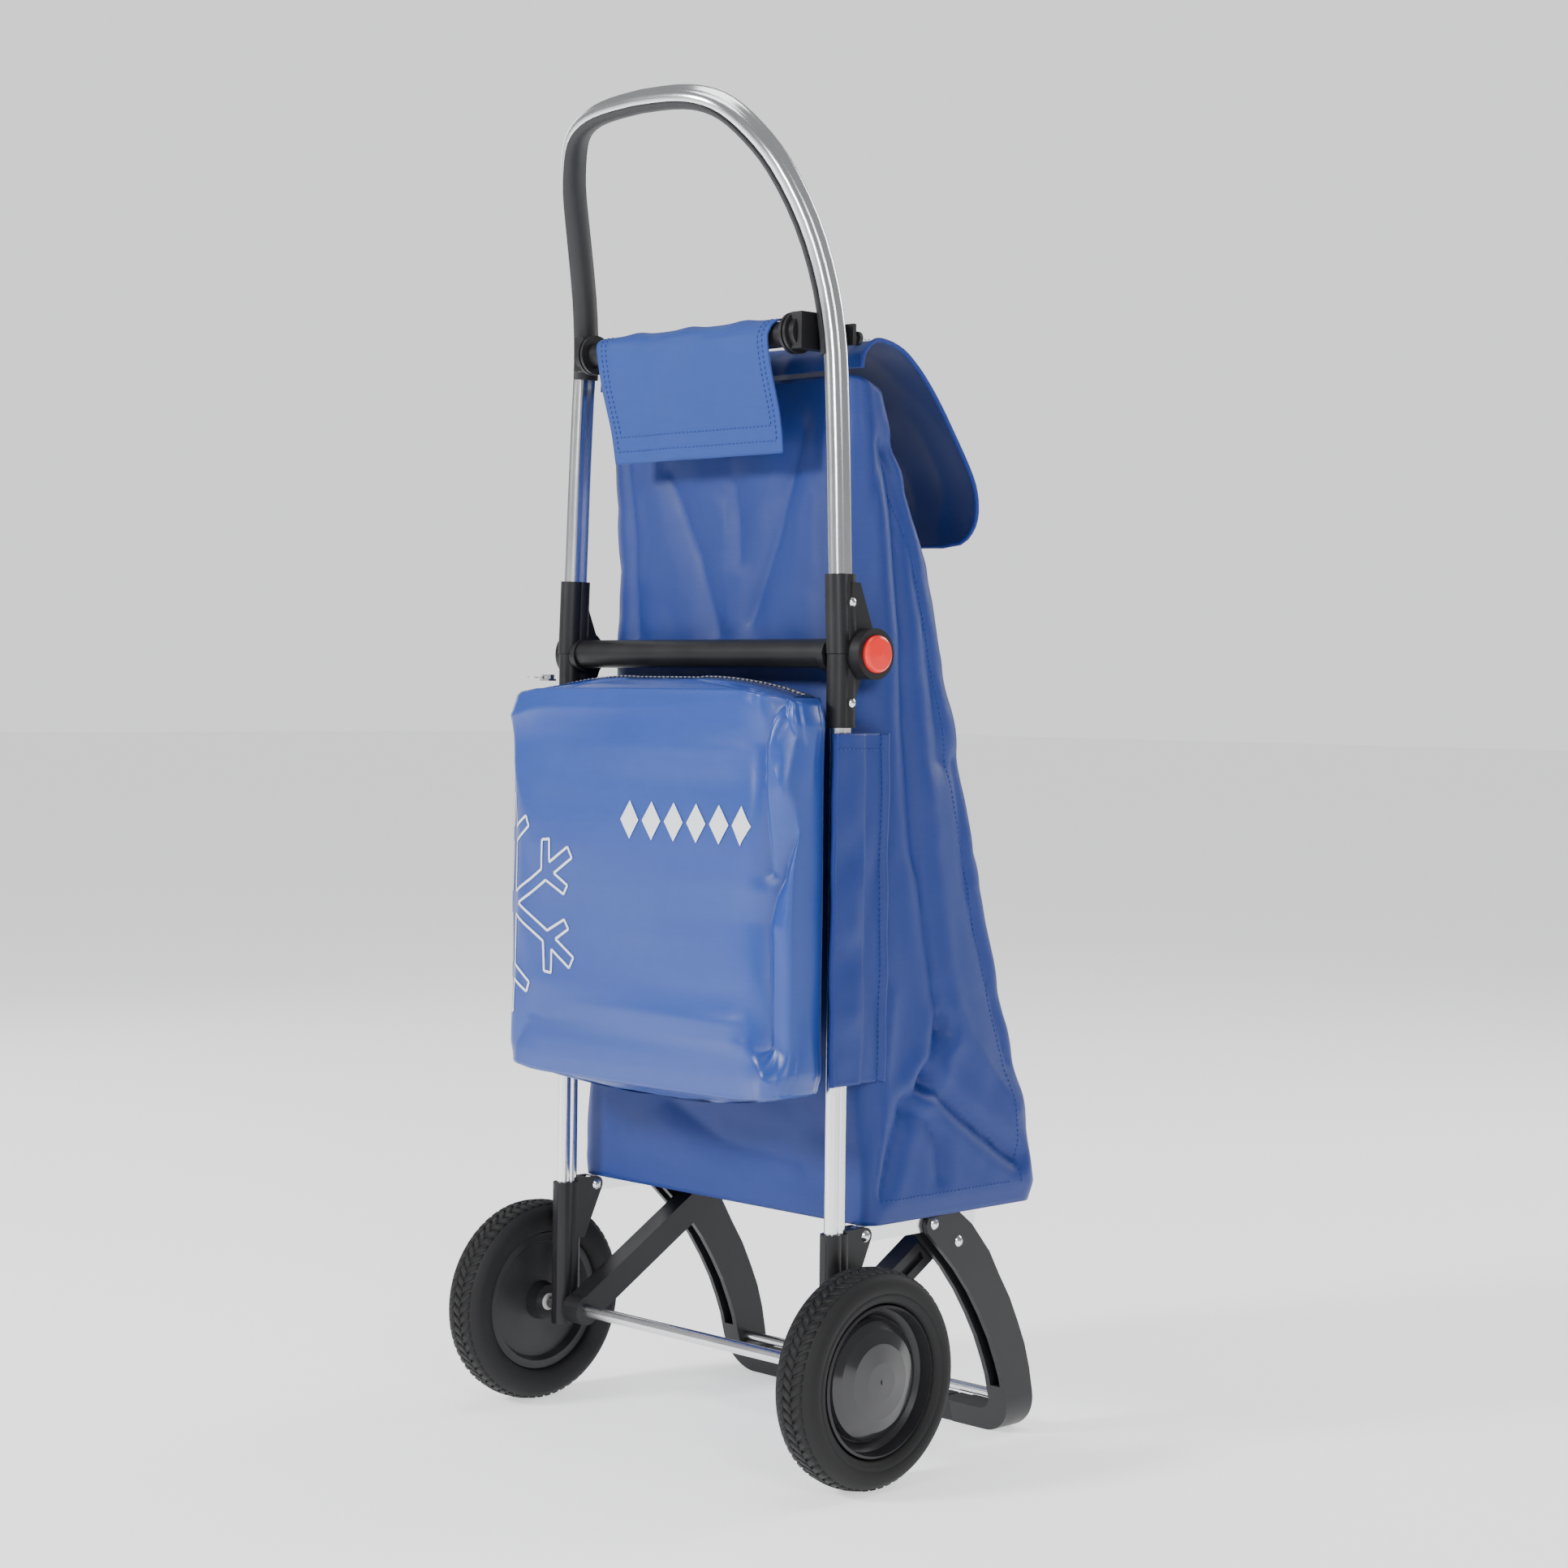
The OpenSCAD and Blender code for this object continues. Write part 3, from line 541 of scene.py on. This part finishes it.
# a point part of the way along a smooth curve through a line of points
def smoothPoint(line, t):
    place = t * (len(line) - 1)
    i = min(int(place), len(line) - 2)
    u = place - i
    p0, p1, p2, p3 = (line[max(0, min(len(line) - 1, k))] for k in (i - 1, i, i + 1, i + 2))
    return [0.5 * (2 * b + (c - a) * u + (2 * a - 5 * b + 4 * c - d) * u * u
                   + (3 * b - a - 3 * c + d) * u ** 3)
            for a, b, c, d in zip(p0, p1, p2, p3)]


def lidSurface(along, up):
    t = 1 - up
    y, z = smoothPoint(lid["line"], t)
    half = lid["half"]
    drop = max(0, (t - 0.72) / 0.28)
    half -= lid["corner"] * (1 - math.sqrt(max(0, 1 - drop * drop)))
    x = mix(-half, half, along)
    wave = noise.noise(Vector((x / 60, t * 2.2, 3))) * 5 * ease((t - 0.25) / 0.5)
    curl = -7 * (abs(x) / 150) ** 3 * ease((t - 0.4) / 0.4)
    wrinkle = (1 - abs(noise.noise(Vector((x / 34, t * 3.4, 9)))) * 2) * 1.4
    return at(x, y + (wave + curl) * 0.7 - wrinkle, z + curl * 0.5)


lidMesh = gridBy(lidSurface, 110, 80)
bmesh.ops.reverse_faces(lidMesh, faces=lidMesh.faces)
lidPiece = addPiece("lid_cloth", lidMesh, "cloth", "lid", second="lining")
thicken(lidPiece, 0.0014, True)
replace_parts(lidPiece, "bag_flap")
edgeSteps = [(1, 1 - k / 40) for k in range(0, 41)] + [(1 - k / 40, 0) for k in range(1, 41)] + \
    [(0, k / 40) for k in range(1, 41)]
binding = [lidSurface(a, u) for a, u in edgeSteps]
bindingPiece = addPiece("lid_binding", tubeThrough(binding, 0.0019, 8), "edge", "lid")
inset = [lidSurface(mix(0.04, 0.96, a), mix(0.05, 1, u)) + Vector((0, 0.0012, 0.0012)) for a, u in edgeSteps]
lidStitching = addPiece("lid_stitching", stitches(inset), "thread", "lid")
for piece in (lidPiece, bindingPiece, lidStitching):
    at(0, 30, 800)
    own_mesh(piece)
print("lid made")

# ---- panel over the bag bar, at the back

panel = {"line": [(-9, 879.3), (-14, 879), (-20, 875.6), (-23, 870), (-23.4, 862), (-19, 840), (-9, 806),
                  (-4, 777)],
         "top": 104, "low": 97}


def panelSurface(along, up):
    t = 1 - up
    y, z = smoothPoint(panel["line"], t)
    x = mix(-1, 1, along) * mix(panel["top"], panel["low"], t)
    bumps = sum(math.exp(-((x - c) / 13) ** 2) for c in (-62, 0, 62)) * 2.2 * (1 - ease(t / 0.4))
    ripple = noise.noise(Vector((x / 40, t * 2.5, 21))) * 3.0 * ease(t / 0.6)
    return at(x, y - ripple, z + bumps)


panelMesh = gridBy(panelSurface, 90, 50)
# the panel's cloth is painted lighter than the bag cloth, as painted light
panelPiece = addPiece("rear_panel", panelMesh, "panel", "handle", second="lining")
thicken(panelPiece, 0.0014, True)
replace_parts(panelPiece, "rear_flap")
for name, gap in (("rear_panel_stitch_outer", 0.03), ("rear_panel_stitch_inner", 0.055)):
    frameLine = [(gap, 1 - k / 30 * (1 - gap * 2)) for k in range(31)]
    frameLine += [(gap + k / 30 * (1 - 2 * gap), gap * 2) for k in range(1, 31)]
    frameLine += [(1 - gap, gap * 2 + k / 30 * (1 - gap * 2)) for k in range(1, 31)]
    addPiece(name, stitches([panelSurface(a, u) - Vector((0, 0.0004, 0)) for a, u in frameLine]), "thread",
             "handle")
print("rear panel made")

# ---- cool bag

cool = {"low": 279, "high": 599, "half": 167, "left": 171, "back": -61, "front": -10.8, "cap": 0.13,
        "air": 3.2, "most": 0.006}
coolFolds = [
    {"line": [(150, 587), (139, 554), (142, 500), (141, 458)], "depth": 7, "width": 6},
    {"line": [(150, 584), (164, 554), (168, 527)], "depth": 4, "width": 5},
    {"line": [(166, 501), (150, 463), (138, 420), (143, 327)], "depth": 14, "width": 10},
    {"line": [(124, 600), (122, 584), (102, 541)], "depth": -4, "width": 7},
    {"line": [(-3, 597), (-17, 575), (-40, 550)], "depth": -3, "width": 6},
    {"line": [(-48, 597), (-98, 584), (-157, 571)], "depth": -3, "width": 8},
    {"line": [(20, 580), (15, 522)], "depth": -2.6, "width": 7},
    {"line": [(63, 580), (56, 521)], "depth": -2.6, "width": 7},
    {"line": [(90, 590), (80, 520), (92, 470)], "depth": 3, "width": 8},
    {"line": [(164, 291), (136, 319), (105, 346)], "depth": -4, "width": 7},
    {"line": [(-43, 346), (-24, 310)], "depth": -2.5, "width": 7},
    {"line": [(60, 284), (70, 330)], "depth": 3, "width": 8},
    {"line": [(10, 284), (4, 322)], "depth": 2.5, "width": 7},
    {"line": [(-150, 300), (-120, 340)], "depth": 3, "width": 8},
    {"line": [(40, 460), (20, 390), (30, 330)], "depth": 2.5, "width": 16},
]


# a closed cushion: turn runs round it, up runs from the middle of its bottom to the middle of its top
def coolShell(turn, up):
    angle = turn * 2 * math.pi
    s, c = math.sin(angle), math.cos(angle)
    x = math.copysign(abs(c) ** 0.09, c)
    y = math.copysign(abs(s) ** 0.34, s)
    t = min(up, 1 - up) / cool["cap"]
    waist = min(t, 1) * 0.975 + 0.025 * ease((t - 1) / 0.3)
    high = 1 if t < 1 else 1 - 2 * (min(up, 1 - up) - cool["cap"]) / (1 - 2 * cool["cap"])
    z = math.copysign(high, up - 0.5)
    middle, depth = (cool["back"] + cool["front"]) / 2, (cool["front"] - cool["back"]) / 2
    height = (cool["high"] - cool["low"]) / 2
    px = x * waist * (cool["half"] if x > 0 else cool["left"])
    py = y * waist * depth
    share = px / cool["half"]
    sag = (11 * share * share - 1) if z < 0 else (-12 * share ** 4 + 2)
    return at(px, middle + py, (cool["high"] + cool["low"]) / 2 + z * height + sag * abs(z))


# lets air fill a closed piece of cloth, with no point moved further than a cap
def fillWithAir(piece, pressure, most, frames=20):
    rest = [v.co.copy() for v in piece.data.vertices]
    air = piece.modifiers.new("air", "CLOTH")
    air.settings.use_pressure = True
    air.settings.uniform_pressure_force = pressure
    air.settings.effector_weights.gravity = 0
    air.settings.tension_stiffness = air.settings.compression_stiffness = 25
    air.settings.bending_stiffness = 2.5
    air.point_cache.frame_start, air.point_cache.frame_end = 1, frames
    scene = bpy.context.scene
    for step in range(1, frames + 1):
        scene.frame_set(step)
    shaped = piece.evaluated_get(bpy.context.evaluated_depsgraph_get()).to_mesh()
    moved = [v.co - r for v, r in zip(shaped.vertices, rest)]
    # neighbours above and below share their moves, so no fold runs across
    above = [[] for _ in rest]
    for edge in piece.data.edges:
        a, b = edge.vertices
        if abs(rest[a].z - rest[b].z) > 0.7 * (rest[a] - rest[b]).length:
            above[a].append(b)
            above[b].append(a)
    for _ in range(40):
        moved = [(move + sum((moved[k] for k in near), Vector())) / (1 + len(near))
                 for move, near in zip(moved, above)]
    piece.modifiers.remove(air)
    scene.frame_set(1)
    for vert, r, move in zip(piece.data.vertices, rest, moved):
        vert.co = r + move * (most / max(most, move.length))


# creases pressed into the back of the cool bag, mm off a point at its place
def coolCrease(x, z, outer):
    folds = 1 - abs(noise.noise(Vector((x / 48 + z / 210, z / 190, 2.5)))) * 2.4
    small = 1 - abs(noise.noise(Vector((x / 24 + z / 70, z / 120, 7.1)))) * 2.0
    broad = noise.noise(Vector((x / 80, z / 140, 5)))
    return outer * (pressedBy(coolFolds, x, z) + 3 - 1.8 * folds - 0.5 * small - 3.5 * broad)


coolMesh = gridBy(coolShell, 150, 84)
bmesh.ops.recalc_face_normals(coolMesh, faces=coolMesh.faces)
coolPiece = addPiece("cool_bag_body", coolMesh, "cool", "frame")
fillWithAir(coolPiece, cool["air"], cool["most"])
coolMesh = bmesh.new()
coolMesh.from_mesh(coolPiece.data)
bmesh.ops.subdivide_edges(coolMesh, edges=coolMesh.edges[:], cuts=1, use_grid_fill=True)
bmesh.ops.smooth_vert(coolMesh, verts=coolMesh.verts, factor=0.4, use_axis_x=True, use_axis_y=True,
                      use_axis_z=True)
coolMesh.normal_update()
for vert in coolMesh.verts:
    outer = max(0, -vert.normal.y) ** 0.5
    vert.co.y += max(-4, coolCrease(vert.co.x * 1000, vert.co.z * 1000, outer)) / 1000
    vert.co.y = max(vert.co.y, at(0, -68, 0).y)
    vert.co.y = min(vert.co.y, at(0, cool["front"], 0).y)
coolMesh.to_mesh(coolPiece.data)
coolMesh.free()
for face in coolPiece.data.polygons:
    face.use_smooth = True
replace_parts(coolPiece, "thermo_bag")
coolSurface = BVHTree.FromPolygons([v.co for v in coolPiece.data.vertices],
                                   [p.vertices for p in coolPiece.data.polygons])
print("cool bag made")

# side sleeves that hold the cool bag to the uprights
for side, word in ((1, "right"), (-1, "left")):
    def sleeveSurface(along, up):
        y, z = mix(-16, 44, along), mix(298, 563, up)
        ripple = math.sin(z / 13 + 2 * noise.noise(Vector((1, z / 40, side)))) * (1 - ease(up * 1.6 - 0.5))
        bulge = 1.3 * noise.noise(Vector((y / 22, z / 45, 31 + side)))
        bulge += 1.5 * ripple * math.exp(-((along - 0.3) / 0.18) ** 2)
        step = 4 * ease((along - 0.9) / 0.07) - 4.6 * ease((along - 0.5) / 0.1)
        x = side * (169.2 + 1.6 * bulge + 2.2 * math.sin(along * math.pi) + step)
        return at(x, y, z)
    sleeveMesh = gridBy(sleeveSurface, 40, 120)
    if side < 0:
        bmesh.ops.reverse_faces(sleeveMesh, faces=sleeveMesh.faces)
    sleeve = addPiece("side_sleeve_cloth_" + word, sleeveMesh, "cloth", "frame", second="lining")
    thicken(sleeve, 0.0012, True)
    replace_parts(sleeve, "side_sleeve_" + word)
    piping = [sleeveSurface(0, k / 40) for k in range(41)]
    addPiece("sleeve_piping_" + word, tubeThrough(piping, 0.0021), "edge", "frame")
    lift = Vector((side * 0.0006, 0, 0))
    hemLine = [sleeveSurface(k / 12, 0.955) + lift for k in range(13)]
    edgeLine = [sleeveSurface(0.9, k / 60) + lift for k in range(61)]
    addPiece("sleeve_hem_stitch_" + word, stitches(hemLine), "thread", "frame")
    addPiece("sleeve_edge_stitch_" + word, stitches(edgeLine), "thread", "frame")
print("sleeves made")


# flat shapes in mm, laid on the back of the cool bag
def stripOn(bm, ends, width, steps):
    (x0, z0), (x1, z1) = ends
    length = math.hypot(x1 - x0, z1 - z0)
    made = bmesh.ops.create_grid(bm, x_segments=steps, y_segments=2, size=0.5)["verts"]
    turn = math.atan2(z1 - z0, x1 - x0)
    for vert in made:
        u, v = vert.co.x * length, vert.co.y * width
        px = (x0 + x1) / 2 + u * math.cos(turn) - v * math.sin(turn)
        pz = (z0 + z1) / 2 + u * math.sin(turn) + v * math.cos(turn)
        hit = coolSurface.ray_cast(at(px, -200, pz), Vector((0, 1, 0)))[0]
        vert.co = (hit if hit is not None else at(px, -60, pz)) - Vector((0, 0.0005, 0))


flake = {"middle": (-152, 420), "reach": 88, "half": 5, "line": 2.1, "twig": 24, "lean": 55, "roots": (0.56,)}


# the outline of one arm, as (along, across) points on one side of its middle
def armSide(values):
    half, twig = values["half"], values["twig"]
    c, s = math.cos(math.radians(values["lean"])), math.sin(math.radians(values["lean"]))
    points = [(half * 1.8, half)]
    for root in values["roots"]:
        low = root * values["reach"]
        points += [(low, half), (low + twig * c, half + twig * s),
                   (low + twig * c + 2 * half * s, half + twig * s - 2 * half * c + 2),
                   (low + 2 * half / s, half)]
    return points + [(values["reach"], half)]


pattern = bmesh.new()
for k in range(6):
    angle = math.radians(90 + 60 * k)
    mx, mz = flake["middle"]
    arm = armSide(flake)
    outline = arm + [(u, -v) for u, v in reversed(arm)]
    placed = [(mx + u * math.cos(angle) - v * math.sin(angle), mz + u * math.sin(angle) + v * math.cos(angle))
              for u, v in outline]
    for ends in zip(placed, placed[1:]):
        if min(ends[0][0], ends[1][0]) > -164:
            stripOn(pattern, ends, flake["line"], 10)
addPiece("frost_pattern", pattern, "print", "frame")
diamonds = bmesh.new()
for k in range(6):
    made = bmesh.ops.create_grid(diamonds, x_segments=8, y_segments=8, size=0.5)["verts"]
    for vert in made:
        u, v = (vert.co.x - vert.co.y) * 10.5, (vert.co.x + vert.co.y) * 15
        start = at(-4 + k * 25 + u, -200, 493 + v)
        hit = coolSurface.ray_cast(start, Vector((0, 1, 0)))[0]
        vert.co = (hit if hit is not None else start) - Vector((0, 0.0006, 0))
addPiece("cool_bag_diamonds", diamonds, "print", "frame")
print("prints made")

# zip along the top of the cool bag
down = Vector((0, 0, -1))
zipLine = layOn(coolSurface, [at(x, -30, 900) for x in range(-150, 151, 5)], down, 0.0)
zipLine = [p if p.z > 0.3 else at(0, -30, 600) for p in zipLine]


def ribbonOn(line, half, lift):
    def rule(along, up):
        place = along * (len(line) - 1)
        i = min(int(place), len(line) - 2)
        point = line[i].lerp(line[i + 1], place - i)
        return point + Vector((0, (up - 0.5) * 2 * half, lift - abs(up - 0.5) * 0.001))
    return gridBy(rule, len(line) * 3, 6)


zipTape = addPiece("zip_tape", ribbonOn(zipLine, 0.011, 0.0012), "lining", "frame")
thicken(zipTape, 0.0008)
teeth = bmesh.new()
for i in range(len(zipLine) - 1):
    for k in range(2):
        place = zipLine[i].lerp(zipLine[i + 1], k / 2) + Vector((0, 0.0008 if k else -0.0008, 0.0019))
        made = bmesh.ops.create_cube(teeth, size=1)["verts"]
        size = Matrix.Diagonal((0.0016, 0.0032, 0.0012, 1))
        bmesh.ops.transform(teeth, matrix=Matrix.Translation(place) @ size, verts=made)
bmesh.ops.bevel(teeth, geom=teeth.edges[:], offset=0.0003, affect="EDGES", segments=1, profile=0.5,
                material=-1)
addPiece("zip_teeth", teeth, "zip", "frame", smooth=False)
print("zip made")

# ---- tyres

tread = {"blocks": 62, "crown": 82.45, "rise": 1.3, "skew": 2.6,
         "rows": ((-12.5, -4.4), (-3.8, 3.8), (4.4, 12.5))}
tyreOutline = [(56.9, -11), (58, -15.5), (63, -18.6), (70, -19.8), (75, -18.6), (78.6, -15.2), (80.6, -10),
               (81.2, 0), (80.6, 10), (78.6, 15.2), (75, 18.6), (70, 19.8), (66.4, 19.4), (65.4, 18.6),
               (64.4, 19.1), (60.5, 18.2), (58.3, 15.8), (56.9, 11)]
turns = 144

for side, word in ((1, "right"), (-1, "left")):
    middle = side * 192.5
    tyre = bmesh.new()
    verts = [tyre.verts.new(at(middle + side * x, 0, 82.5 + r)) for r, x in tyreOutline]
    edges = [tyre.edges.new(pair) for pair in zip(verts, verts[1:] + verts[:1])]
    bmesh.ops.spin(tyre, geom=verts + edges, cent=at(0, 0, 82.5), axis=(1, 0, 0), angle=2 * math.pi,
                   steps=turns, use_merge=True)
    bmesh.ops.remove_doubles(tyre, verts=tyre.verts, dist=0.00001)
    bmesh.ops.recalc_face_normals(tyre, faces=tyre.faces)
    bmesh.ops.subdivide_edges(tyre, edges=tyre.edges[:], cuts=1, smooth=0.0)
    for k in range(tread["blocks"]):
        for row, (x0, x1) in enumerate(tread["rows"]):
            turn = Matrix.Rotation(2 * math.pi * (k + row % 2 * 0.5) / tread["blocks"], 4, "X")
            made = bmesh.ops.create_cube(tyre, size=1)["verts"]
            for vert in made:
                x = mix(x0, x1, vert.co.x + 0.5)
                top = vert.co.z > 0
                crown = tread["crown"] - (abs(x) / 19.6) ** 2 * 4.2
                y = vert.co.y * (5.4 if top else 6.4) + tread["skew"] * vert.co.x * (-2 if row % 2 else 2)
                z = math.sqrt(crown ** 2 - y ** 2) - (0 if top else tread["rise"] * 2.2)
                point = turn @ Vector((x, y, z))
                vert.co = Vector((point.x + middle, point.y, point.z)) / 1000 + Vector((0, axleY, axleZ))
    mesh = addPiece("tyre_tread_" + word, tyre, "tyre", "wheel_" + word).data
    count = turns * len(tyreOutline) * 4
    for face in mesh.polygons:
        face.use_smooth = face.index < count
    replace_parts(bpy.data.objects["tyre_tread_" + word], "tyre_" + word)
print("tyres made")

# ---- handle tube and grip, with smooth walls

for name, finish, slot in (("handle_tube", "tube", "tube_metal"), ("handle_grip", "grip", "grip_plastic")):
    shell = bmesh.new()
    shell.from_mesh(frame["nodes"][name].data)
    bmesh.ops.remove_doubles(shell, verts=shell.verts, dist=0.00001)
    for edge in shell.edges:
        edge.smooth = len(edge.link_faces) == 2 and edge.calc_face_angle() < math.radians(38)
    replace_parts(addPiece(name + "_smooth", shell, finish, "handle"), name)
print("handle smoothed")

# ---- floor

floorMesh = bmesh.new()
bmesh.ops.create_grid(floorMesh, x_segments=8, y_segments=8, size=30)  # half its width, m
floorPiece = addPiece("studio_floor", floorMesh, "floor")
floorShader = floorPiece.data.materials[0].node_tree.nodes["Principled BSDF"]
floorShader.inputs["Emission Color"].default_value = (0.97, 0.975, 0.98, 1)
floorShader.inputs["Emission Strength"].default_value = 0.85
